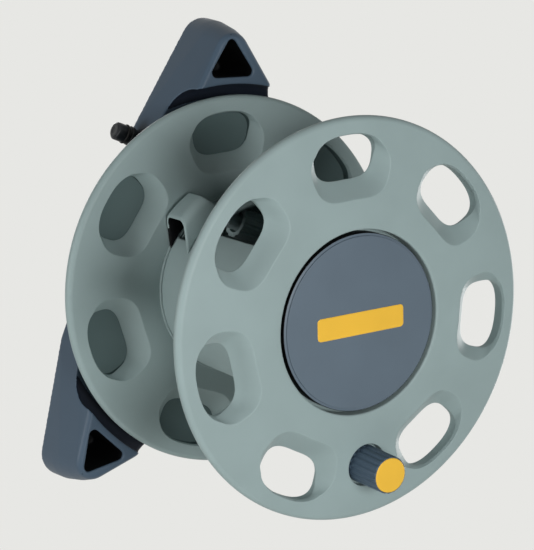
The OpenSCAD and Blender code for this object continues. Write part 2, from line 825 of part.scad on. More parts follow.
module axle_o_rings() {
  color(black) out_of_wall() for (s = [-1, 1]) translate([0, 0, port_out + s * oring_gap])
    rotate_extrude() translate([axle_r - oring_groove_depth + oring_wire + touch, 0])
      circle(r = oring_wire, $fn = 24);
}

module axle_screws() {
  color(steel) out_of_wall() around(foot_screw_count, foot_screw_turn)
    translate([foot_screw_r, 0, foot_out - touch]) mirror([0, 0, 1]) screw(foot_screw_l);
}

module thrust_washer() {
  color(white) out_of_wall() translate([0, 0, hub_boss_out + touch])
    tube(bush_collar_r + 1, axle_r + fit, washer_t);
}

module axle_washer() {
  color(steel) out_of_wall() translate([0, 0, axle_washer_out])
    tube(bush_collar_r - 1, axle_r + fit, washer_t - seat);
}

module axle_nut() {
  color(dark_blue) out_of_wall() translate([0, 0, axle_nut_out]) difference() {
    cylinder(h = nut_t, d = nut_d, $fn = 6);
    translate([0, 0, -over]) cylinder(h = nut_t + 2 * over, r = axle_r + fit / 2);
  }
}

module hub_cover() {
  color(dark_blue) out_of_wall() {
    cylinder(h = cover_t, r = well_r - fit);
    translate([0, 0, cover_t - skin]) tube(well_r - fit, well_r - 2.5, 4);
  }
}

// Round posts at the corners of a level's outline, above and below the axis, to be hulled
module level_posts(z, corners) {
  for (s = [-1, 1], c = corners)
    translate([s * (len(c) > 3 ? c[3] : 0) - c[0], s * c[1], z])
      cylinder(h = skin, r = c[2], $fn = hull_sides);
}

// Outside of the bracket, whose middle part goes up to the heads' front until the cove is cut
module bracket_hull() {
  hull() {
    for (l = body_levels) level_posts(l[0], l[1]);
    for (l = head_levels) level_posts(l[0] * head_depth, l[1]);
    cylinder(h = skin, r = hub_disc_r + body_draft);
    translate([0, 0, body_depth - skin]) cylinder(h = skin, r = hub_disc_r);
  }
}

// Room for the reel in front of the body and between the heads
module bracket_cove() {
  rotate_extrude() polygon(concat(
    [[0, body_depth], [groove_r - cove_run, body_depth]],
    [for (a = [15:15:90])
      [groove_r - cove_run * (1 - sin(a)), body_depth + cove_rise * (1 - cos(a))]],
    [[groove_r, 2 * head_depth], [0, 2 * head_depth]]));
}

// Hollow of the body, open to the wall
module bracket_void() {
  difference() {
    hull() {
      for (z = [-over, well_top - skin]) level_posts(z, void_corners);
      translate([0, 0, -over]) cylinder(h = well_top + over, r = hub_disc_r - bracket_wall);
    }
    difference() {
      body_ribs();
      pipe_tunnel();
    }
    inlet_rib();
    cylinder(h = body_depth, r = hub_boss_r);
  }
}

module body_ribs() {
  for (u = rib_ups, s = [-1, 1]) translate([-flange_r, s * u - rib_t / 2, 0])
    cube([2 * flange_r, rib_t, body_depth]);
  translate([-rib_left - rib_t / 2, -flange_r, 0]) cube([rib_t, 2 * flange_r, body_depth]);
}

// Rib with a notch for the inlet's socket, which backs up the retainer
module inlet_rib() {
  notch = inlet_socket_r + pass;
  at_inlet(inlet_rib_left) difference() {
    translate([-inlet_out, -retainer_w / 2 - rib_t, 0]) cube([body_depth, retainer_w + 2 * rib_t, rib_t]);
    translate([0, 0, -over]) cylinder(h = rib_t + 2 * over, r = notch);
    translate([-2 * inlet_out, -notch, -over]) cube([2 * inlet_out, 2 * notch, rib_t + 2 * over]);
  }
}

// Clear way for the feed pipe and the inlet through the ribs
module pipe_tunnel() {
  reach = inlet_socket_r + pass;
  translate([-tunnel_r, 0, -over]) cube([2 * tunnel_r, inlet_up + tunnel_r, body_depth]);
  translate([-side_left, inlet_up - reach, -over]) cube([side_left + tunnel_r, 2 * reach, body_depth]);
}

// Triangular well in a head, down to the floor that the wall screw clamps
module head_well(s) {
  outline = round_outline([for (c = well_corners) [-c[0], c[1], c[2]]]);
  mirror([0, s < 0 ? 1 : 0, 0]) translate([0, 0, well_floor])
    linear_extrude(head_depth) polygon(outline);
}

module wall_bracket() {
  color(dark_blue) out_of_wall() difference() {
    union() {
      difference() {
        union() {
          difference() {
            bracket_hull();
            bracket_cove();
          }
          cylinder(h = hub_boss_out, r = hub_boss_r);
        }
        for (s = [-1, 1]) head_well(s);
      }
      for (s = [-1, 1]) intersection() {
        translate([-screw_left, s * screw_up, well_floor - skin]) cylinder(h = boss_ring_h, r = boss_ring_r);
        translate([0, 0, -skin]) head_well(s);
      }
    }
    bracket_void();
    translate([0, 0, -over]) cylinder(h = well_top + over, r = well_r);
    cylinder(h = 2 * hub_boss_out, r = axle_r + fit);
    around(foot_screw_count, foot_screw_turn) translate([foot_screw_r, 0, 0])
      cylinder(h = foot_out + foot_screw_l + over, r = screw_hole);
    translate([-tunnel_r, 0, inlet_out - tunnel_r])
      cube([2 * tunnel_r, hub_boss_r + over, well_top - inlet_out + tunnel_r]);
    at_inlet(inlet_flange_left - over) cylinder(h = side_left, r = inlet_hole_r);
    for (s = [-1, 1]) translate([-screw_left, s * screw_up, -over])
      cylinder(h = head_depth, d = screw_hole_d);
  }
}

// Places along -X, at the outlet's elbow
module at_outlet(left) translate([-left, outlet_up, port_out]) rotate([0, -90, 0]) children();

module at_union_screws(z) {
  around(union_screw_count, union_screw_turn) translate([union_screw_r, 0, z]) children();
}

module outlet_union() {
  color(grey_green) out_of_wall() difference() {
    union() {
      translate([0, 0, union_back]) cylinder(h = union_plate, r = union_boss_r);
      translate([0, 0, union_back]) cylinder(h = union_l, r = union_r);
      translate([0, 0, port_out]) rotate([-90, 0, 0]) cylinder(h = outlet_up, r = riser_r);
      at_outlet(-riser_r) cylinder(h = thread_from + riser_r, r = riser_r);
      at_outlet(thread_from - skin) cylinder(h = thread_l, r = thread_r);
      at_outlet(thread_from + thread_l - 2 * skin) rotate_extrude()
        polygon(concat([[0, 0], [tail_r, 0]],
          [for (i = [0:barb_count - 1])
            let (z = tail_l * (0.25 + 0.75 * i / barb_count))
            each [[tail_r, z], [barb_r, z], [tail_r, z + tail_l * 0.75 / barb_count - skin]]],
          [[0, tail_l]]));
    }
    translate([0, 0, union_back - over]) cylinder(h = union_l + 2 * over, r = axle_r + run);
    translate([0, 0, port_out - chamber_l / 2]) cylinder(h = chamber_l, r = chamber_r);
    translate([0, 0, port_out]) rotate([-90, 0, 0]) cylinder(h = outlet_up + riser_bore, r = riser_bore);
    at_outlet(0) cylinder(h = thread_from + thread_l + tail_l + over, r = tail_bore);
    at_union_screws(union_back - over) cylinder(h = union_plate + 2 * over, r = screw_hole);
    at_union_screws(union_back + union_plate) cylinder(h = union_l, r = screw_head_r + pass);
  }
}

module union_screws() {
  color(steel) out_of_wall() at_union_screws(union_back + union_plate + touch) screw(union_screw_l);
}

// Ridged nut that clamps the hose on its tail
module hose_nut() {
  color(grey_green) out_of_wall() at_outlet(thread_from + fit) difference() {
    cylinder(h = nut_l, r = nut_r);
    translate([0, 0, -over]) cylinder(h = nut_l + 2 * over, r = hose_room_r);
    translate([0, 0, -over]) cylinder(h = nut_l + over - nut_lip, r = thread_r + fit);
    around(nut_ridges) translate([nut_r + nut_ridge_r / 2, 0, -over])
      cylinder(h = nut_l + 2 * over, r = nut_ridge_r);
  }
}

module rear_drum_screws() {
  color(steel) out_of_wall() at_rear_screws(rear_web_out - touch) mirror([0, 0, 1])
    screw(drum_screw_l + flange_wall);
}

module front_drum_screws() {
  color(steel) out_of_wall() at_front_screws(front_web_out + touch) screw(drum_screw_l + flange_wall);
}

// Outline of the blank bar, grown by a gap
module bar_outline(grow) {
  x = bar_l / 2 - bar_corner;
  y = bar_w / 2 - bar_corner;
  r = bar_corner + grow;
  polygon(round_outline([[x, -y, r], [x, y, r], [-x, y, r], [-x, -y, r]]));
}

module centre_cap() {
  color(cap_blue) out_of_wall() {
    difference() {
      union() {
        translate([0, 0, cap_back]) rotate_extrude() polygon([[0, 0], [cap_r, 0], [cap_r, cap_t - cap_edge],
          [cap_r - cap_edge, cap_t], [0, cap_t]]);
        translate([0, 0, front_web_out + touch]) tube(cap_r, cap_r - cap_skirt, cap_back - front_web_out);
        around(cap_post_count, cap_post_turn) translate([cap_post_r, 0, front_web_back - cap_post_end])
          cylinder(h = cap_back - front_web_back + cap_post_end + skin, r = post_r);
      }
      translate([0, 0, cap_front - bar_sink]) rotate(bar_slant) linear_extrude(cap_t) bar_outline(fit);
    }
  }
}

module cap_bar() {
  color(yellow) out_of_wall() translate([0, 0, cap_front - bar_sink + touch]) rotate(bar_slant)
    linear_extrude(bar_t) bar_outline(0);
}

// Shoulder pin: its flange rests on the recess floor and its top carries the retainer
module knob_pin() {
  back = front_rim_out + knob_boss_back - washer_t - pin_nut_t - over;
  color(steel) out_of_wall() {
    at_knob(back) cylinder(h = pin_top - back, r = knob_pin_r);
    at_knob(knob_seat_out + touch) cylinder(h = pin_flange_t, r = pin_head_r);
    at_knob(pin_top - skin) cylinder(h = pin_neck_l, r = pin_neck_r);
  }
}

module knob_pin_washer() {
  color(steel) out_of_wall() at_knob(front_rim_out + knob_boss_back - washer_t - touch)
    tube(pin_head_r + 1, knob_pin_r + fit, washer_t);
}

module knob_pin_nut() {
  color(steel) out_of_wall() at_knob(front_rim_out + knob_boss_back - washer_t - 2 * touch - pin_nut_t)
    difference() {
      cylinder(h = pin_nut_t, r = pin_nut_r, $fn = 6);
      translate([0, 0, -over]) cylinder(h = pin_nut_t + 2 * over, r = knob_pin_r + fit / 2);
    }
}

// Push-on washer that keeps the knob on its pin
module knob_retainer() {
  color(steel) out_of_wall() at_knob(pin_top + touch) tube(pin_head_r, pin_neck_r + fit / 2, pin_head_t);
}

module knob_grip() {
  foot = knob_foot_d / 2;
  top = knob_top_d / 2;
  lean = atan((foot - top) / knob_l);
  color(dark_blue) out_of_wall() at_knob(knob_back) difference() {
    rotate_extrude() polygon([[0, 0], [foot - 0.8, 0], [foot, 0.8], [top + 0.1, knob_l - 1],
      [top - 0.7, knob_l], [0, knob_l]]);
    difference() {
      translate([0, 0, -over]) cylinder(h = knob_web_back + over, r = foot - knob_wall);
      translate([0, 0, knob_sleeve_back]) cylinder(h = knob_l, r = knob_sleeve_r);
    }
    translate([0, 0, knob_web_back + knob_web_t])
      cylinder(h = knob_l, r = knob_cap_r - knob_shell);
    translate([0, 0, knob_l - knob_cap_t + knob_cap_proud]) cylinder(h = knob_l, r = knob_cap_r + fit);
    translate([0, 0, -over]) cylinder(h = knob_l, r = knob_pin_r + run);
    around(flute_count) translate([foot + flute_r - flute_sink, 0, knob_collar_l])
      rotate([0, -lean, 0]) cylinder(h = knob_l, r = flute_r);
  }
}

module knob_cap() {
  color(yellow) out_of_wall() at_knob(knob_front - knob_cap_t + knob_cap_proud + touch)
    rotate_extrude() polygon([[0, 0], [knob_cap_r, 0], [knob_cap_r, knob_cap_t - 0.8],
      [knob_cap_r - 0.3, knob_cap_t - 0.2], [knob_cap_r - 0.9, knob_cap_t], [0, knob_cap_t]]);
}

wall_bracket();
hub_cover();
axle();
axle_screws();
feed_pipe();
inlet_connector();
inlet_retainer();
inlet_o_ring();
inlet_plug();
thrust_washer();
axle_o_rings();
axle_washer();
axle_nut();
rear_flange();
rear_bush();
front_flange();
front_bush();
drum();
hose_hood();
outlet_union();
union_screws();
hose_nut();
rear_drum_screws();
front_drum_screws();
centre_cap();
cap_bar();
knob_pin();
knob_pin_nut();
knob_pin_washer();
knob_grip();
knob_cap();
knob_retainer();
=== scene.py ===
import json
import math

import bmesh
import bpy
import numpy as np
from mathutils import Matrix, Vector


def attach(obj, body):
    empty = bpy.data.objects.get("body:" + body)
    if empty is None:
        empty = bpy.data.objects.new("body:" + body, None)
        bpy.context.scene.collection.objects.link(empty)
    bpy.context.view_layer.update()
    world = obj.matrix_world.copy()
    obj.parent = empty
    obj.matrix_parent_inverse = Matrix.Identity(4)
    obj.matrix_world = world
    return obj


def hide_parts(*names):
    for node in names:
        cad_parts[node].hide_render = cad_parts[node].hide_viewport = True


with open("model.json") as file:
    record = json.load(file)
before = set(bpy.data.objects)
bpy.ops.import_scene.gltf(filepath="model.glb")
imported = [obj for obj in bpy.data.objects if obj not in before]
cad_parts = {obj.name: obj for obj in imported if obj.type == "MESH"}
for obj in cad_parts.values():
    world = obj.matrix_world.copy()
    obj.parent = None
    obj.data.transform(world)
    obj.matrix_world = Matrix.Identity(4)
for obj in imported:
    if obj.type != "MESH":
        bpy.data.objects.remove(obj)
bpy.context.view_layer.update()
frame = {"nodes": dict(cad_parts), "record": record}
NODES = frame["nodes"]
MM = 0.001

# Sizes in millimetres, as in the CAD. Points are (x, up, out), out being the distance from the wall.
# Heights on a flange count outwards from the plane of its rim, at FRONT_RIM or REAR_RIM.
FRONT_RIM, REAR_RIM = 225.0, 56.0
FLANGE_R, BEAD, BEAD_AHEAD, WALL = 150.0, 4.6, 0.6, 3.0
FACE_IN, FACE_OUT, FACE_EDGE, DOME, DOME_POWER = 68.7, FLANGE_R - BEAD, BEAD_AHEAD + BEAD, 9.8, 1.8
RIM_START, RIM_END = 6.3, -62
EDGE_ROUND, SIDE_STEPS = 0.7, 28
HAIR = 0.02    # keeps faces apart that would lie in one plane, and is the margin where faces are chosen

# Windows: the hole, the scoop round it, and the floor of the rear flange's blind ones.
WINDOW_R, WINDOW_W, WINDOW_H, WINDOW_POWER = 120.6, 51.6, 33.2, 2.9
HOLE_HUB_H, HOLE_RIM_H, HOLE_POWER, WINDOW_BACK, WINDOW_WALL = -3.8, 4.0, 2.1, -4.5, 2.5
SCOOP_W, SCOOP_H, SCOOP_SHIFT, SCOOP_POWER_HUB, SCOOP_POWER_RIM = 72.0, 46.8, 6.1, 3.2, 2.0
CREASE_ROUND, CREASE_GAP = 0.5, 0.9
FLOOR, FLOOR_WALL, FLOOR_DISH = -4.4, 2.5, 2.2

# Rows of a window: shares of the way over the slope, the face, the floor and its back, mm beside the crease.
SLOPE_AT, CREASE_AT = (0.2, 0.4, 0.6, 0.78, 0.9), (-0.9, -0.6, -0.3, 0.0, 0.3, 0.6, 0.9)
FACE_AT = (np.arange(1, 13) / 12) ** 1.2
FLOOR_AT = (1.0, 0.97, 0.93, 0.87, 0.79, 0.69, 0.57, 0.44, 0.3, 0.16, 0.05)
FLOOR_BACK_AT, LIP, BACK_EDGE, BEYOND_CREASE = (0.08, 0.5, 0.8), 0.2, 0.5, 1.5

# The knob's recess in the front flange. RECESS_FLOOR has distances from its wall and heights over its floor.
KNOB_ANGLE, KNOB_AT, KNOB_GAP, KNOB_HALF = 296.4, 109.5, 63.0, 12.0
KNOB_RECESS, KNOB_FLOOR, KNOB_BACK, BESIDE_RECESS = 16.2, 1.5, -8.0, 0.6
RECESS_FLOOR = (0, 0.8), (0.12, 0.4), (0.4, 0.12), (0.8, 0), (4, 0), (8, 0), (12, 0)
RECESS_FACE_AT, RECESS_BACK_AT = (np.arange(1, 22) / 21) ** 1.15, (1.5, 8)

# Turns of the windows: an even step on the rear flange, and on the front one a wider step at the knob.
WINDOWS = 7
FRONT_PITCH, REAR_TURN, REAR_PITCH = (360 - KNOB_GAP) / (WINDOWS - 1), 14.1, 360 / WINDOWS

# Hubs of the flanges: boss, web, the spigot inside the drum and the seat at the drum's end.
HUB_R, RECESS_EDGE, BORE_R, BOSS_R = 72.5, 1.5, 15.14, 19.06
SPIGOT_IN, SPIGOT_R, SPIGOT_LONG = 66.5, 68.9, 4.0
WEB_FACE, WEB_BACK, FRONT_BOSS, DRUM_SEAT_R, SEAT_WALL_R = -3.0, -6.0, -24.0, 73.0, 71.7
REAR_DISC_R, REAR_DISC_BACK, REAR_BOSS, REAR_RING_BACK = 30.0, 2.3, -12.1, -2.2
DRUM_R, DRUM_IN = 72.0, 69.0

# Ribs: inner and outer radius, lowest and highest height.
FRONT_RIBS, REAR_RIBS = (18.06, 66.9, -15.0, -4.5), (29.0, 68.0, -2.2, 8.3)
RIBS, RIB_TURN, RIB_T = 6, 40.0, 2.5

# Centre cap and the blank bar on it.
CAP_R, CAP_GAP_R, CAP_STEP_R, CAP_SKIRT_R = 66.1, 65.7, 63.9, 64.5
CAP_FRONT, CAP_BACK, CAP_FOOT = 234.8, 232.0, 222.02
BAR_L, BAR_W, BAR_CORNER, BAR_TURN, BAR_LOW, BAR_HIGH, BAR_EDGE = 76.0, 17.0, 3.0, 24.4, 234.02, 235.22, 0.45
BAR_CROWN_IN, BAR_CROWN = 1.6, 0.06

# Knob: the grip's flutes start above a plain foot and run out at the top edge.
GRIP_BACK, GRIP_L, GRIP_FOOT, GRIP_TOP, FOOT_ROUND = 226.9, 35.6, 14.5, 14.0, 0.8
FLUTES, FLUTE_STEPS, FLUTE_FROM, FLUTE_RUN, FLUTE_DEPTH, FLUTE_HALF = 18, 16, 5.4, 0.9, 0.8, 0.62
GRIP_HEIGHTS = (0.0, 0.25, 0.6, 0.9, 2.5, 4.6, 5.0, 5.2, 5.4, 5.6, 5.8, 6.1, 6.6,
                8, 12, 16, 20, 24, 28, 32, 33.6, 34.4)
GRIP_TOP_EDGE = (34.9, 0.08), (35.25, 0.3), (35.5, 0.62), (GRIP_L, 0.9)
PIN_R, PIN_TOP, PIN_FOOT, WASHER_R, WASHER_TOP, GRIP_HOLLOW_R = 4.06, 19.0, 3.4, 7.0, 14.0, 10.4
KNOB_CAP_R, KNOB_CAP_T, KNOB_CAP_PROUD, KNOB_CAP_DROP = 13.0, 2.6, 0.6, 0.15

# Inlet: radii, and distances to the left of the reel's axis.
INLET_UP, INLET_OUT = 82.0, 15.0
NOSE_R, NECK_R, COLLAR_R, RING_R, INLET_BORE = 7.2, 6.6, 7.8, 5.7, 4.0
NECK_END, COLLAR_END, RING_START, RING_END, NOSE_END = 108.5, 111.5, 113.5, 116.0, 124.0
INLET_BACK, SOCKET_R, SOCKET_BORE, SOCKET_END = 77.2, 9.4, 7.1, 89.2
INLET_FLANGE_R, INLET_FLANGE, SPACER_R, SPACER_END = 10.2, (92.2, 94.6), 8.2, 100.0
PLUG_R, PLUG_BACK, PLUG_LIP_R = 3.9, 117.0, 6.1

# Bracket: depths of its body and heads, the cove beside the flange, the wells' corners (left, up, radius).
BODY_DEPTH, HEAD_DEPTH, GROOVE_R, COVE_RUN, WELL_RIM, WELL_BACK = 30.0, 57.0, 158.2, 16.0, 1.6, 1.5
WELL_CORNERS = (72.0, 175.2, 4.2), (76.9, 150.0, 4.2), (50.2, 160.9, 4.2)

# Hose hood: its inside, which gets painted shade, and the angle of its heel. Its outer corners keep their
# colour.
HOOD_INNER_R, HOOD_INNER_FRONT, HOOD_HEEL, HOOD_CORNER = 90.0, 93.4, 147.0, 7.0


# ---------------------------------------------------------------- mesh helpers

class Shell:
    """Closed rows of points (x, up, out), joined by quads."""

    def __init__(self):
        self.points, self.faces = [], []

    def row(self, pts):
        first = len(self.points)
        self.points += [tuple(float(c) for c in p) for p in pts]
        return list(range(first, len(self.points)))

    def join(self, a, b):
        for i in range(len(a)):
            j = (i + 1) % len(a)
            self.faces.append((a[i], a[j], b[j], b[i]))

    def rows(self, rows):
        made = [self.row(r) for r in rows]
        for a, b in zip(made, made[1:]):
            self.join(a, b)
        return made

    def cap(self, row):
        """Closes a row by a fan about its middle."""
        middle = self.row([np.mean([self.points[i] for i in row], axis=0)])[0]
        for i in range(len(row)):
            self.faces.append((row[i], row[(i + 1) % len(row)], middle))

    def piece(self, name, body, slot, node=None, weld=0.004, sharp=38):
        """Makes the object. It stands for a CAD node, or is a piece of its own."""
        verts = np.array(self.points)
        verts = np.c_[verts[:, 0], -verts[:, 2], verts[:, 1]] * MM
        mesh = bpy.data.meshes.new(name)
        mesh.from_pydata(verts.tolist(), [], self.faces)
        bm = bmesh.new()
        bm.from_mesh(mesh)
        bmesh.ops.remove_doubles(bm, verts=bm.verts, dist=weld * MM)
        bmesh.ops.dissolve_degenerate(bm, edges=bm.edges, dist=weld * MM / 4)
        bmesh.ops.recalc_face_normals(bm, faces=bm.faces)
        bm.to_mesh(mesh)
        bm.free()
        obj = linked(name, mesh)
        finish_mesh(obj, sharp)
        mesh.materials.append(MATS[slot])
        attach(obj, body)
        if node:
            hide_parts(node)
        return obj


def linked(name, data):
    """A new object in the scene."""
    obj = bpy.data.objects.new(name, data)
    bpy.context.scene.collection.objects.link(obj)
    return obj


def finish_mesh(obj, sharp):
    for p in obj.data.polygons:
        p.use_smooth = True
    obj.data.set_sharp_from_angle(angle=math.radians(sharp))


def at(radius, degrees):
    a = np.radians(degrees)
    return np.stack([radius * np.cos(a), radius * np.sin(a)], axis=-1)


def arc(centre, radius, start, end, steps):
    a = np.radians(np.linspace(start, end, steps + 1))
    return [(centre[0] + radius * math.cos(t), centre[1] + radius * math.sin(t)) for t in a]


def rounded(points, radii, steps=4):
    """A profile whose corners are rounded: radii gives each corner's own radius, 0 for a sharp one."""
    n, out = len(points), []
    for i, (p, r) in enumerate(zip(points, radii)):
        p = np.array(p, float)
        if r <= 0:
            out.append(tuple(p))
            continue
        a, b = np.array(points[i - 1], float) - p, np.array(points[(i + 1) % n], float) - p
        la, lb = np.linalg.norm(a), np.linalg.norm(b)
        a, b = a / la, b / lb
        half = math.acos(np.clip(a @ b, -1, 1)) / 2
        cut = min(r / math.tan(half), la / 2, lb / 2)
        for t in np.linspace(0, 1, steps + 1):
            out.append(tuple(p + a * cut * (1 - t) ** 2 + b * cut * t ** 2))
    return out


def soft_min(a, b, k):
    h = np.maximum(k - np.abs(a - b), 0) / k
    return np.minimum(a, b) - h * h * k / 4


def normals(outline):
    """Outward unit normals of a counter-clockwise closed outline."""
    d = np.roll(outline, -1, axis=0) - np.roll(outline, 1, axis=0)
    n = np.stack([d[:, 1], -d[:, 0]], axis=-1)
    return n / np.linalg.norm(n, axis=1, keepdims=True)


def with_height(xy, h):
    return np.c_[xy, np.broadcast_to(h, len(xy))]


def evaluated(obj):
    """Applies an object's modifiers and returns its new mesh."""
    graph = bpy.context.evaluated_depsgraph_get()
    mesh = bpy.data.meshes.new_from_object(obj.evaluated_get(graph))
    obj.modifiers.clear()
    old = obj.data
    obj.data = mesh
    bpy.data.meshes.remove(old)
    return mesh


def softened(node, body, slot, voxel, smooth, keep=1.0, sharp=60, weld=0.002):
    """Stands for a CAD node: its shape with all edges rounded, by a fine remesh and smoothing."""
    mesh = NODES[node].data.copy()
    bm = bmesh.new()
    bm.from_mesh(mesh)
    bmesh.ops.remove_doubles(bm, verts=bm.verts, dist=weld * MM)
    bm.to_mesh(mesh)
    bm.free()
    obj = linked(node + "_skin", mesh)
    remesh = obj.modifiers.new("remesh", "REMESH")
    remesh.mode = "VOXEL"
    remesh.voxel_size = voxel * MM
    smoothing = obj.modifiers.new("smooth", "SMOOTH")
    smoothing.factor = 0.5
    smoothing.iterations = smooth
    if keep < 1:
        decimate = obj.modifiers.new("decimate", "DECIMATE")
        decimate.ratio = keep
    mesh = evaluated(obj)
    mesh.name = obj.name
    finish_mesh(obj, sharp)
    mesh.materials.clear()
    mesh.materials.append(MATS[slot])
    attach(obj, body)
    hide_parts(node)
    return obj


def turned_piece(name, body, slot, node, profile, place, steps=128, closed=True):
    """A profile of radius and height turned about an axis, which place sets into the frame."""
    shell = Shell()
    circle = 360 * np.arange(steps) / steps
    made = shell.rows([place(with_height(at(max(r, 0.0), circle), h)) for r, h in profile])
    if closed:
        shell.join(made[-1], made[0])
    return shell.piece(name, body, slot, node)


def at_reel(points):
    return points


def at_knob(points):
    return points + np.array([*at(KNOB_AT, KNOB_ANGLE), 0])


def at_inlet(points):
    """The inlet's axis runs to the left, so heights become distances to the left."""
    return np.stack([-points[:, 2], INLET_UP + points[:, 1], INLET_OUT + points[:, 0]], axis=-1)


# --------------------------------------------------------------------- flanges

def face_height(r):
    t = np.clip((r - FACE_IN) / (FACE_OUT - FACE_IN), 0, 1.05)
    return FACE_EDGE + (DOME - FACE_EDGE) * (1 - t ** DOME_POWER)


def face_at(xy):
    return face_height(np.linalg.norm(xy, axis=1))


def hole_height(r):
    """Height of a window's edge, which rises towards the rim."""
    share = np.clip((r - WINDOW_R) / WINDOW_H + 0.5, 0, 1)
    return HOLE_HUB_H + (HOLE_RIM_H - HOLE_HUB_H) * share ** HOLE_POWER


def superellipse(angle, steps, width, height, shift, power_hub, power_rim):
    """Outline round a window at an angle, from its outer corner, with its own roundness at hub and rim."""
    t = np.radians(45.0 + 360 * np.arange(steps) / steps)
    power = 2 / np.where(np.sin(t) < 0, power_hub, power_rim)
    u = width / 2 * np.sign(np.cos(t)) * np.abs(np.cos(t)) ** power
    v = height / 2 * np.sign(np.sin(t)) * np.abs(np.sin(t)) ** power - shift
    return at(WINDOW_R + v, angle - np.degrees(u / WINDOW_R))


def sector_edge(a0, a1, r0, r1):
    """Counter-clockwise outline of a sector, from the outer corner at a0, with equal steps on its sides."""
    s = np.arange(SIDE_STEPS) / SIDE_STEPS
    full = np.full(SIDE_STEPS, 1.0)
    r = np.concatenate([r1 * full, r1 + (r0 - r1) * s, r0 * full, r0 + (r1 - r0) * s])
    a = np.concatenate([a0 + (a1 - a0) * s, a1 * full, a1 + (a0 - a1) * s, a0 * full])
    return at(r, a)


def window_rows(angle, edge, blind):
    """Rows of a window: the front from the hole's edge to the sector's, the hole's wall, and the back."""
    steps = len(edge)
    hole = superellipse(angle, steps, WINDOW_W, WINDOW_H, 0, WINDOW_POWER, WINDOW_POWER)
    crease = superellipse(angle, steps, SCOOP_W, SCOOP_H, SCOOP_SHIFT, SCOOP_POWER_HUB, SCOOP_POWER_RIM)
    out = normals(hole)
    gap = ((crease - hole) * out).sum(axis=1)
    crease = crease + np.maximum(CREASE_GAP - gap, 0)[:, None] * out
    way = crease - hole
    run = np.linalg.norm(way, axis=1)
    unit = way / run[:, None]
    low, high = hole_height(np.linalg.norm(hole, axis=1)), face_at(crease)
    slope = np.arctan2(high - low, run)

    # Front: the hole's rounded edge, the scoop's slope, a small rounding where it meets the face, the face.
    rows = []
    turn = math.pi / 2 - slope
    drop = EDGE_ROUND * np.tan(turn / 2)
    for s in np.linspace(0, 1, 5):
        a = turn * s
        d = EDGE_ROUND * (1 - np.cos(a))
        rows.append(with_height(hole + d[:, None] * unit, low - drop + EDGE_ROUND * np.sin(a)))
    start = EDGE_ROUND * (1 - np.cos(turn))
    for s in SLOPE_AT:
        d = start + (run - start) * s
        rows.append(with_height(hole + d[:, None] * unit, low + d * np.tan(slope)))
    for along in CREASE_AT:
        xy = crease + along * unit
        rows.append(with_height(xy, soft_min(face_at(xy), high + along * np.tan(slope), CREASE_ROUND)))
    inner = crease + CREASE_AT[-1] * unit
    for s in FACE_AT:
        xy = inner + (edge - inner) * s
        rows.append(with_height(xy, face_at(xy)))

    # Wall and back: a dished floor closes a blind window, and a small lip ends an open one.
    if blind:
        back_h, middle = FLOOR - FLOOR_WALL, hole.mean(axis=0)
        wall = [with_height(middle + (hole - middle) * s, FLOOR - FLOOR_DISH * (1 - s * s)) for s in FLOOR_AT]
        back = [with_height(middle + (hole - middle) * s, back_h) for s in FLOOR_BACK_AT]
    else:
        back_h, lip = WINDOW_BACK, with_height(hole + LIP * out, WINDOW_BACK)
        wall = [with_height(hole, np.minimum(back_h + LIP, low - drop)), lip]
        back = [lip]
    outer = hole + WINDOW_WALL * out
    under_low = np.maximum(low - WALL, back_h + LIP)
    back += [with_height(hole + (WINDOW_WALL - BACK_EDGE) * out, back_h), with_height(outer, under_low)]
    far = crease + BEYOND_CREASE * unit
    for s in (0.25, 0.5, 0.75, 1.0):
        xy = outer + (far - outer) * s
        under_scoop = under_low + (high - WALL - under_low) * s
        back.append(with_height(xy, np.minimum(face_at(xy) - WALL, under_scoop)))
    for s in np.arange(1, 9) / 8:
        xy = far + (edge - far) * s
        back.append(with_height(xy, face_at(xy) - WALL))
    return rows, wall, back


def knob_rows(edge):
    """Rows of the sector that holds the knob's recess, as for a window."""
    centre = at(KNOB_AT, KNOB_ANGLE)
    direction = edge - centre
    unit = direction / np.linalg.norm(direction, axis=1, keepdims=True)
    hole = centre + KNOB_RECESS * unit
    inner = hole + EDGE_ROUND * unit
    low = face_at(inner) - EDGE_ROUND
    rows = [with_height(hole + EDGE_ROUND * (1 - math.cos(a)) * unit, low + EDGE_ROUND * math.sin(a))
            for a in np.radians(np.linspace(0, 90, 6))]
    for s in RECESS_FACE_AT:
        xy = inner + (edge - inner) * s
        rows.append(with_height(xy, face_at(xy)))
    wall = [with_height(centre + (KNOB_RECESS - d) * unit, KNOB_FLOOR + h) for d, h in RECESS_FLOOR]
    outer_r = KNOB_RECESS + WINDOW_WALL
    back = [with_height(centre + r * unit, KNOB_BACK) for r in (*RECESS_BACK_AT, outer_r - BACK_EDGE)]
    outer = centre + outer_r * unit
    back += [with_height(outer, KNOB_BACK + BACK_EDGE), with_height(outer, face_at(outer) - WALL - BACK_EDGE)]
    beside = outer + BESIDE_RECESS * unit
    for s in np.arange(0, 9) / 8:
        xy = beside + (edge - beside) * s
        back.append(with_height(xy, face_at(xy) - WALL))
    return rows, wall, back


def add_ribs(shell, r0, r1, h0, h1):
    """Radial ribs behind a flange's web, between the drum's screws."""
    for angle in RIB_TURN + 360 / RIBS * np.arange(RIBS):
        along, across = at(1.0, angle), at(RIB_T / 2, angle + 90)
        corners = [r0 * along - across, r1 * along - across, r1 * along + across, r0 * along + across]
        made = shell.rows([[(x, y, h) for x, y in corners] for h in (h0, h1)])
        for row in made:
            shell.cap(row)


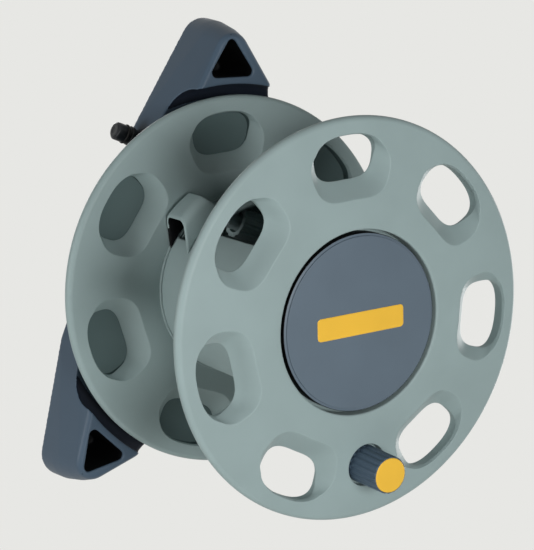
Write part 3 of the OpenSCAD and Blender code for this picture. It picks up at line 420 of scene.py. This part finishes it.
def window_sectors(blind):
    """Each window's angle and its sector's two edges. The knob's sector has no window."""
    if blind:
        turns = [REAR_TURN + i * REAR_PITCH for i in range(WINDOWS)]
        return [(w, w - REAR_PITCH / 2, w + REAR_PITCH / 2) for w in turns]
    low, high = KNOB_ANGLE - KNOB_HALF, KNOB_ANGLE + KNOB_HALF
    turns = [KNOB_ANGLE + KNOB_GAP / 2 + i * FRONT_PITCH for i in range(WINDOWS)]
    edges = [high] + [w + FRONT_PITCH / 2 for w in turns[:-1]] + [low + 360]
    return list(zip(turns, edges, edges[1:])) + [(None, low + 360, high + 360)]


def flange(name, node, rim, blind, hub, ribs):
    """A flange with its windows. hub is the profile inside HUB_R, as radius and height."""
    shell = Shell()
    r_out = FACE_OUT + BEAD * math.sin(math.radians(RIM_START))
    h_out = float(face_height(np.array(r_out)))
    angles = []
    for w, lo, hi in window_sectors(blind):
        edge = sector_edge(lo, hi, HUB_R, r_out)
        angles += list(lo + (hi - lo) * np.arange(SIDE_STEPS) / SIDE_STEPS)
        rows, wall, back = knob_rows(edge) if w is None else window_rows(w, edge, blind)
        shell.rows(rows)
        made = shell.rows([rows[0]] + wall)
        under = shell.rows(back)
        if w is None or blind:
            shell.cap(made[-1])
            shell.cap(under[0])
    bead_centre = (FACE_OUT, BEAD_AHEAD)
    rim_profile = [(r_out, h_out)] + arc(bead_centre, BEAD, 90 - RIM_START, RIM_END, 18)
    rim_profile += arc(bead_centre, BEAD - WALL, RIM_END, 90, 8)[:-1] + [(r_out, h_out - WALL)]
    for profile in (rim_profile, hub):
        shell.rows([with_height(at(r, np.array(angles)), h) for r, h in profile])
    add_ribs(shell, *ribs)
    shell.points = [(x, y, rim + h) for x, y, h in shell.points]
    return shell.piece(name, "reel", "grey_green", node)


# ------------------------------------------------------------------- materials

def lin(*rgb):
    return tuple(c / 255 / 12.92 if c <= 10 else ((c / 255 + 0.055) / 1.055) ** 2.4 for c in rgb)


def add_node(tree, kind, **values):
    """A new shader node. Its inputs are named as on the node, with _ for a space."""
    made = tree.nodes.new("ShaderNode" + kind)
    for key, value in values.items():
        made.inputs[key.replace("_", " ")].default_value = value
    return made


def plastic(name, rgb, rough=0.5, grain=1500.0, bump=0.05, spread=0.04, specular=0.25, gloss_spread=0.05):
    """Moulded plastic: fine grain, a slight change of tone and of gloss."""
    mat = bpy.data.materials.new(name)
    mat.use_nodes = True
    tree = mat.node_tree
    link = tree.links.new
    bsdf = tree.nodes["Principled BSDF"]
    bsdf.inputs["Specular IOR Level"].default_value = specular
    coord = add_node(tree, "TexCoord")
    cloud = add_node(tree, "TexNoise", Scale=22.0, Detail=3.0)
    link(coord.outputs["Object"], cloud.inputs["Vector"])
    ramp = add_node(tree, "ValToRGB")
    for stop, position, share in zip(ramp.color_ramp.elements, (0.3, 0.7), (1 - spread, 1 + spread)):
        stop.position = position
        stop.color = (*[c * share for c in lin(*rgb)], 1)
    link(cloud.outputs["Fac"], ramp.inputs["Fac"])
    link(ramp.outputs["Color"], bsdf.inputs["Base Color"])
    fine = add_node(tree, "TexNoise", Scale=grain, Detail=2.0)
    link(coord.outputs["Object"], fine.inputs["Vector"])
    bumps = add_node(tree, "Bump", Strength=bump, Distance=0.0003)
    link(fine.outputs["Fac"], bumps.inputs["Height"])
    link(bumps.outputs["Normal"], bsdf.inputs["Normal"])
    gloss = add_node(tree, "MapRange", To_Min=rough - gloss_spread, To_Max=rough + gloss_spread)
    link(cloud.outputs["Fac"], gloss.inputs["Value"])
    link(gloss.outputs["Result"], bsdf.inputs["Roughness"])
    return mat


def metal(name, rgb, rough=0.35):
    mat = plastic(name, rgb, rough, grain=2500.0, bump=0.03, spread=0.02)
    mat.node_tree.nodes["Principled BSDF"].inputs["Metallic"].default_value = 1.0
    return mat


MATS = {
    "grey_green": plastic("grey_green_plastic", (147, 165, 165), 0.5),
    "dark_blue": plastic("dark_blue_plastic", (68, 85, 101), 0.45),
    "cap_blue": plastic("cap_blue_plastic", (93, 107, 119), 0.45),
    "black": plastic("black_plastic", (28, 31, 34), 0.4),
    # Painted shade: a near-black for the insides of deep openings, where shade falls.
    "deep": plastic("painted_shade_black", (9, 10, 12), 0.6, specular=0.1),
    "shadow_blue": plastic("shadow_blue_plastic", (22, 29, 41), 0.6, specular=0.1),
    # Painted shade: a darker grey-green for the floors of the rear flange's blind windows.
    "dim": plastic("painted_shade_grey_green", (88, 105, 105), 0.6, specular=0.1),
    "rubber": plastic("black_rubber", (20, 20, 20), 0.7),
    "yellow": plastic("yellow_plastic", (240, 190, 66), 0.35, bump=0.02),
    "steel": metal("zinc_steel", (180, 184, 187)),
    "white": plastic("white_plastic", (217, 219, 214), 0.4, bump=0.02),
}
SLOT_OF = {s["node"]: s["material_slot"] for s in frame["record"]["subparts"]}
for node_name, node_obj in NODES.items():
    node_obj.data.materials.clear()
    node_obj.data.materials.append(MATS[SLOT_OF[node_name]])
    finish_mesh(node_obj, 30)


# ------------------------------------------------------------ shade in openings

def columns(values):
    """An object's (x, y, z) values as columns x, up and out."""
    values = values.reshape(-1, 3)
    return values[:, 0], values[:, 2], -values[:, 1]


def shade(obj, chosen, material):
    """Gives the chosen faces, which lie deep in an opening and look dark, a darker material: painted shade.
    """
    mesh = obj.data
    mesh.materials.append(MATS[material])
    before = np.empty(len(mesh.polygons), dtype=np.int32)
    mesh.polygons.foreach_get("material_index", before)
    centres = np.empty(len(mesh.polygons) * 3)
    facing = np.empty(len(mesh.polygons) * 3)
    mesh.polygons.foreach_get("center", centres)
    mesh.polygons.foreach_get("normal", facing)
    index = np.where(chosen(columns(centres / MM), columns(facing)), len(mesh.materials) - 1, before)
    mesh.polygons.foreach_set("material_index", index.astype(np.int32))
    mesh.update()


def in_pocket(place, facing):
    """The floors and walls of the rear flange's blind windows, below the edge where the scoop starts."""
    x, up, out = place
    height, r = out - REAR_RIM, np.hypot(x, up)
    angle = (np.degrees(np.arctan2(up, x)) - REAR_TURN + REAR_PITCH / 2) % REAR_PITCH - REAR_PITCH / 2
    across, along = np.abs(np.radians(angle) * WINDOW_R), np.abs(r - WINDOW_R)
    hole = (across * 2 / WINDOW_W) ** WINDOW_POWER + (along * 2 / WINDOW_H) ** WINDOW_POWER < 1.02
    wall = (height < hole_height(r) - EDGE_ROUND) & (height > FLOOR) & (np.abs(facing[2]) < 0.3)
    return hole & (wall | (height < FLOOR + HAIR) & (height > FLOOR - FLOOR_DISH - HAIR))


def in_cap_gap(place, facing):
    """The cap's step and side, at the bottom of the gap round it."""
    return np.hypot(place[0], place[1]) > CAP_GAP_R


def in_well(place, facing):
    """The wells of the bracket's heads, behind their rims."""
    x, up, out = -place[0], np.abs(place[1]), place[2]
    inside = (out < HEAD_DEPTH - WELL_RIM) & (out > WELL_BACK) & (facing[2] > -0.5)
    for i, (ax, ay, r) in enumerate(WELL_CORNERS):
        bx, by, _ = WELL_CORNERS[(i + 1) % 3]
        away = ((up - ay) * (bx - ax) - (x - ax) * (by - ay)) / math.hypot(bx - ax, by - ay)
        inside &= away < r + 0.35
    return inside


def in_cove(place, facing):
    """The heads' inner side and the cove at its foot, which lie in the flange's shadow."""
    x, up, out = place
    r = np.hypot(x, up)
    inward = facing[0] * x + facing[1] * up < 0
    beside_flange = (r < GROOVE_R + 0.3) & (r > GROOVE_R - COVE_RUN)
    return inward & beside_flange & (out > BODY_DEPTH + 0.5) & (out < HEAD_DEPTH - 1)


def in_hood(place, facing):
    """The hood's inside as seen from its mouth, without its outer corners and its heel."""
    x, up, out = place
    r, angle = np.hypot(x, up), np.degrees(np.arctan2(up, x)) % 360
    away, along = (facing[0] * x + facing[1] * up) / r, (facing[1] * x - facing[0] * up) / r
    corner = (r > HOOD_INNER_R - HOOD_CORNER) & (away > 0.3)
    corner |= (out > HOOD_INNER_FRONT - HOOD_CORNER) & (facing[2] > 0.3)
    heel = (angle < HOOD_HEEL) & (along < -0.2)
    return (r < HOOD_INNER_R) & (out < HOOD_INNER_FRONT) & ~corner & ~heel


# ---------------------------------------------------------------------- pieces

front_hub = [(HUB_R, DOME), (FACE_IN + RECESS_EDGE, DOME)]
front_hub += arc((FACE_IN + RECESS_EDGE, DOME - RECESS_EDGE), RECESS_EDGE, 90, 180, 4)
front_hub += [
    (FACE_IN, WEB_FACE + 1), (FACE_IN - 1, WEB_FACE), (BORE_R, WEB_FACE), (BORE_R, FRONT_BOSS),
    (BOSS_R, FRONT_BOSS), (BOSS_R, WEB_BACK), (SPIGOT_IN, WEB_BACK), (SPIGOT_IN, WEB_BACK - SPIGOT_LONG),
    (SPIGOT_R, WEB_BACK - SPIGOT_LONG), (SPIGOT_R, WEB_BACK), (DRUM_SEAT_R, WEB_BACK),
    (DRUM_SEAT_R, WEB_FACE), (SEAT_WALL_R, WEB_FACE), (SEAT_WALL_R, DOME - WALL - 0.8), (HUB_R, DOME - WALL)]
flange("front_flange_skin", "front_flange", FRONT_RIM, False, front_hub, FRONT_RIBS)

rear_hub = [
    (HUB_R, DOME), (SPIGOT_R, DOME), (SPIGOT_R, DOME + SPIGOT_LONG), (SPIGOT_IN, DOME + SPIGOT_LONG),
    (SPIGOT_IN, DOME), (REAR_DISC_R, DOME), (REAR_DISC_R, DOME + 0.1), (BORE_R, DOME + 0.1),
    (BORE_R, REAR_BOSS), (BOSS_R, REAR_BOSS), (BOSS_R, REAR_DISC_BACK), (REAR_DISC_R, REAR_DISC_BACK),
    (REAR_DISC_R, DOME - WALL), (DRUM_IN, DOME - WALL), (DRUM_IN, REAR_RING_BACK), (DRUM_R, REAR_RING_BACK),
    (DRUM_R, DOME - WALL - 0.5), (HUB_R, DOME - WALL)]
rear = flange("rear_flange_skin", "rear_flange", REAR_RIM, True, rear_hub, REAR_RIBS)
# The floors and walls of the rear pockets get painted shade.
shade(rear, in_pocket, "dim")

cap_profile = rounded([(0, CAP_FRONT), (CAP_STEP_R, CAP_FRONT), (CAP_STEP_R + 0.2, CAP_FRONT - 1.0),
                       (CAP_R, CAP_FRONT - 1.5), (CAP_R, CAP_FOOT), (CAP_SKIRT_R, CAP_FOOT),
                       (CAP_SKIRT_R, CAP_BACK), (0, CAP_BACK)],
                      [0, 0.4, 0.2, 0.5, 0.3, 0.3, 0.6, 0])
cap = turned_piece("centre_cap_skin", "reel", "cap_blue", "centre_cap", cap_profile, at_reel, 192,
                   closed=False)
# The gap round the cap gets painted shade.
shade(cap, in_cap_gap, "deep")


def bar_rows():
    """The blank bar in the cap's pocket, with a softly rounded front edge and a slight crown."""
    slant, corner_at = math.radians(BAR_TURN), (BAR_L / 2 - BAR_CORNER, BAR_W / 2 - BAR_CORNER)
    edge = [(BAR_EDGE * (1 - math.cos(a)), BAR_HIGH - BAR_EDGE + BAR_EDGE * math.sin(a))
            for a in np.radians((0, 22.5, 45, 67.5, 90))]
    rows = []
    for inset, h in [(0, BAR_LOW)] + edge + [(BAR_CROWN_IN, BAR_HIGH + BAR_CROWN)]:
        pts = []
        for side_x, side_y, a0 in ((1, -1, -90), (1, 1, 0), (-1, 1, 90), (-1, -1, 180)):
            for a in np.radians(np.linspace(a0, a0 + 90, 7)):
                x = side_x * corner_at[0] + (BAR_CORNER - inset) * math.cos(a)
                y = side_y * corner_at[1] + (BAR_CORNER - inset) * math.sin(a)
                pts.append((x * math.cos(slant) - y * math.sin(slant),
                            x * math.sin(slant) + y * math.cos(slant), h))
        rows.append(pts)
    return rows


bar = Shell()
made = bar.rows(bar_rows())
bar.cap(made[0])
bar.cap(made[-1])
bar.piece("cap_bar_skin", "reel", "yellow", "cap_bar")


def grip_profile(turn):
    """Radius and height of the fluted grip. Where it has flutes, the radius is one for each angle of turn."""
    phase = np.abs((turn * FLUTES / 360 + 0.5) % 1 - 0.5) * 2
    groove = np.clip(1 - (phase / FLUTE_HALF) ** 2, 0, 1)
    profile = []
    for h in GRIP_HEIGHTS:
        r = GRIP_FOOT + (GRIP_TOP - GRIP_FOOT) * h / GRIP_L
        foot = FOOT_ROUND - math.sqrt(max(FOOT_ROUND ** 2 - max(FOOT_ROUND - h, 0) ** 2, 0))
        start = np.clip((h - FLUTE_FROM + FLUTE_RUN * (1 - phase)) / FLUTE_RUN, 0, 1)
        profile.append((r - foot - FLUTE_DEPTH * groove * start ** 0.7, h))
    for h, d in GRIP_TOP_EDGE:
        profile.append((np.minimum(GRIP_TOP - d, GRIP_TOP + HAIR - FLUTE_DEPTH * groove * (1.05 - d)), h))
    lip, lip_r = GRIP_L - KNOB_CAP_T + KNOB_CAP_PROUD, KNOB_CAP_R + 0.1
    return profile + [(lip_r, GRIP_L - 0.05), (lip_r, lip), (GRIP_HOLLOW_R, lip), (GRIP_HOLLOW_R, PIN_TOP),
                      (PIN_R, PIN_TOP), (PIN_R, PIN_FOOT), (WASHER_R, PIN_FOOT), (WASHER_R, WASHER_TOP),
                      (GRIP_HOLLOW_R - 0.1, WASHER_TOP), (GRIP_HOLLOW_R - 0.1, 0.0)]


grip = Shell()
grip_turn = 360 * np.arange(FLUTES * FLUTE_STEPS) / (FLUTES * FLUTE_STEPS)
made = grip.rows([at_knob(with_height(at(np.broadcast_to(r, len(grip_turn)), grip_turn), GRIP_BACK + h))
                  for r, h in grip_profile(grip_turn)])
grip.join(made[-1], made[0])
grip.piece("knob_grip_skin", "knob", "dark_blue", "knob_grip", sharp=50)

knob_cap_low = GRIP_BACK + GRIP_L - KNOB_CAP_T + KNOB_CAP_PROUD + HAIR
knob_cap_high = knob_cap_low + KNOB_CAP_T
knob_cap_profile = rounded([(0, knob_cap_high), (KNOB_CAP_R, knob_cap_high - KNOB_CAP_DROP),
                            (KNOB_CAP_R, knob_cap_low), (0, knob_cap_low)],
                           [0, 0.9, 0.2, 0], 6)
turned_piece("knob_cap_skin", "knob", "yellow", "knob_cap", knob_cap_profile, at_knob, 96, closed=False)

# Corners of the profiles of inlet and plug: radius, distance to the left, and the corner's rounding.
inlet_corners = [
    (INLET_BORE, NOSE_END, 0.2), (NOSE_R, NOSE_END, 2.2), (NOSE_R, RING_END, 0.5),
    (RING_R, RING_END, 0.2), (RING_R, RING_START, 0.2), (NOSE_R, RING_START, 0.4),
    (NOSE_R, RING_START - 1, 0.4), (NECK_R, RING_START - 1, 0.3), (NECK_R, COLLAR_END, 0.3),
    (COLLAR_R, COLLAR_END, 0.6), (COLLAR_R, NECK_END, 0.6), (NECK_R, NECK_END, 0.4),
    (NECK_R, SPACER_END, 0.3), (SPACER_R, SPACER_END, 0.3), (SPACER_R, INLET_FLANGE[1], 0.3),
    (INLET_FLANGE_R, INLET_FLANGE[1], 0.4), (INLET_FLANGE_R, INLET_FLANGE[0], 0.4),
    (SOCKET_R, INLET_FLANGE[0], 0.4), (SOCKET_R, INLET_BACK, 0.5), (SOCKET_BORE, INLET_BACK, 0.5),
    (SOCKET_BORE, SOCKET_END, 0), (INLET_BORE, SOCKET_END, 0)]
plug_corners = [
    (0, PLUG_BACK, 0), (PLUG_R, PLUG_BACK, 0.3), (PLUG_R, NOSE_END + HAIR, 0.1),
    (PLUG_LIP_R, NOSE_END + HAIR, 0.3), (PLUG_LIP_R - 0.6, NOSE_END + 0.8, 1.2), (3.2, NOSE_END + 0.75, 1.0),
    (2.2, NOSE_END + 0.35, 0.8), (0, NOSE_END + 0.3, 0)]
for name, corners, closed in (("inlet_connector", inlet_corners, True), ("inlet_plug", plug_corners, False)):
    profile = rounded([(r, h) for r, h, _ in corners], [rounding for _, _, rounding in corners])
    turned_piece(name + "_skin", "bracket", "black", name, profile, at_inlet, 72, closed)

bracket = softened("wall_bracket", "bracket", "dark_blue", 0.8, 14, keep=0.3)
# The wells of the heads get painted shade.
shade(bracket, in_well, "deep")
shade(bracket, in_cove, "shadow_blue")

# A fillet at the drum's root: it lies on the rear flange's face and against the drum.
FACE, ROOT_IN, ROOT_OUT, ROOT_ROUND = REAR_RIM + DOME, DRUM_R + 0.06, 73.3, 0.6
root_profile = [(ROOT_IN, FACE - 0.3), (ROOT_OUT, FACE - 0.3)]
root_profile += arc((ROOT_OUT - ROOT_ROUND, FACE + 1.2), ROOT_ROUND, 0, 90, 5) + [(ROOT_IN, FACE + 1.8)]
turned_piece("drum_root_ring", "reel", "grey_green", None, root_profile, at_reel, 160)
softened("drum", "reel", "grey_green", 0.9, 8, keep=0.3)
hood = softened("hose_hood", "reel", "grey_green", 0.6, 20, sharp=180)
# The hood's inside gets painted shade.
shade(hood, in_hood, "deep")


# ------------------------------------------------------------ stage and camera

PALE = (231, 231, 228)
BACKGROUND = (*lin(*PALE), 1)
SOFT_LIGHT, SOFT_STRENGTH, FLOOR_GLOW = (0.80, 0.80, 0.79, 1), 0.02, 0.85
FLOOR_Z, FLOOR_HALF = -0.75, 1.2
DIRECT_RAYS = ("Is Camera Ray", "Is Glossy Ray", "Is Transmission Ray")


def show_directly(tree, lit, seen, target, share=1.0):
    """The camera, gloss and glass see the shader seen, by a share, and all other light meets lit."""
    link = tree.links.new
    path = add_node(tree, "LightPath")
    factor = path.outputs[DIRECT_RAYS[0]]
    for ray in DIRECT_RAYS[1:]:
        either = add_node(tree, "Math")
        either.operation = "MAXIMUM"
        link(factor, either.inputs[0])
        link(path.outputs[ray], either.inputs[1])
        factor = either.outputs["Value"]
    if share < 1:
        part = add_node(tree, "Math")
        part.operation = "MULTIPLY"
        part.inputs[1].default_value = share
        link(factor, part.inputs[0])
        factor = part.outputs["Value"]
    mix = add_node(tree, "MixShader")
    link(factor, mix.inputs["Fac"])
    link(lit.outputs[0], mix.inputs[1])
    link(seen.outputs[0], mix.inputs[2])
    link(mix.outputs["Shader"], tree.nodes[target].inputs["Surface"])


world = bpy.data.worlds.new("studio")
bpy.context.scene.world = world
world.use_nodes = True
soft = world.node_tree.nodes["Background"]
soft.inputs["Color"].default_value = SOFT_LIGHT
soft.inputs["Strength"].default_value = SOFT_STRENGTH
seen = add_node(world.node_tree, "Background", Color=BACKGROUND)
show_directly(world.node_tree, soft, seen, "World Output")

floor_paint = plastic("floor_paint", PALE, 0.9, bump=0.0, spread=0.0)
paint = floor_paint.node_tree.nodes["Principled BSDF"]
glow = add_node(floor_paint.node_tree, "Emission", Color=BACKGROUND)
show_directly(floor_paint.node_tree, paint, glow, "Material Output", FLOOR_GLOW)
floor_mesh = bpy.data.meshes.new("floor")
floor_corners = [(x * FLOOR_HALF, y * FLOOR_HALF, FLOOR_Z) for x, y in ((-1, -1), (1, -1), (1, 1), (-1, 1))]
floor_mesh.from_pydata(floor_corners, [], [(0, 1, 2, 3)])
floor_mesh.materials.append(floor_paint)
linked("floor", floor_mesh)

# Lamps: place in metres, power and size. All aim at the middle of the object.
AIM = Vector((0, -0.13, 0))
for lamp_name, place, power, size in (("key", (-0.3, -1.7, 0.05), 19.0, 0.6),
                                      ("side", (-1.5, -0.14, -0.45), 9.3, 0.5),
                                      ("right", (1.6, 0.2, 0.3), 11.0, 0.8),
                                      ("behind", (0.3, 1.6, 0.4), 12.0, 0.8)):
    light = bpy.data.lights.new(lamp_name, "AREA")
    light.energy = power
    light.size = size
    lamp = linked(lamp_name, light)
    lamp.location = place
    lamp.rotation_euler = (AIM - Vector(place)).to_track_quat("-Z", "Y").to_euler()
    lamp.visible_camera = False

# The camera was fitted to the photo: focal length in pixels, its right and up, and its place in metres.
PHOTO_LONG_SIDE, FOCAL_PX, SENSOR = 550, 1739.3, 36.0
CAMERA_RIGHT, CAMERA_UP = Vector((0.781814, -0.535136, 0.319995)), Vector((-0.269327, 0.173025, 0.947378))
CAMERA_AT = Vector((-0.771427, -1.23445, 0.000006))
cam_data = bpy.data.cameras.new("camera")
cam_data.sensor_width = SENSOR
cam_data.lens = FOCAL_PX / PHOTO_LONG_SIDE * SENSOR
cam = linked("camera", cam_data)
pose = Matrix((CAMERA_RIGHT, CAMERA_UP, CAMERA_RIGHT.cross(CAMERA_UP))).transposed().to_4x4()
pose.translation = CAMERA_AT
cam.matrix_world = pose
bpy.context.scene.camera = cam
bpy.context.scene.view_settings.view_transform = "Standard"
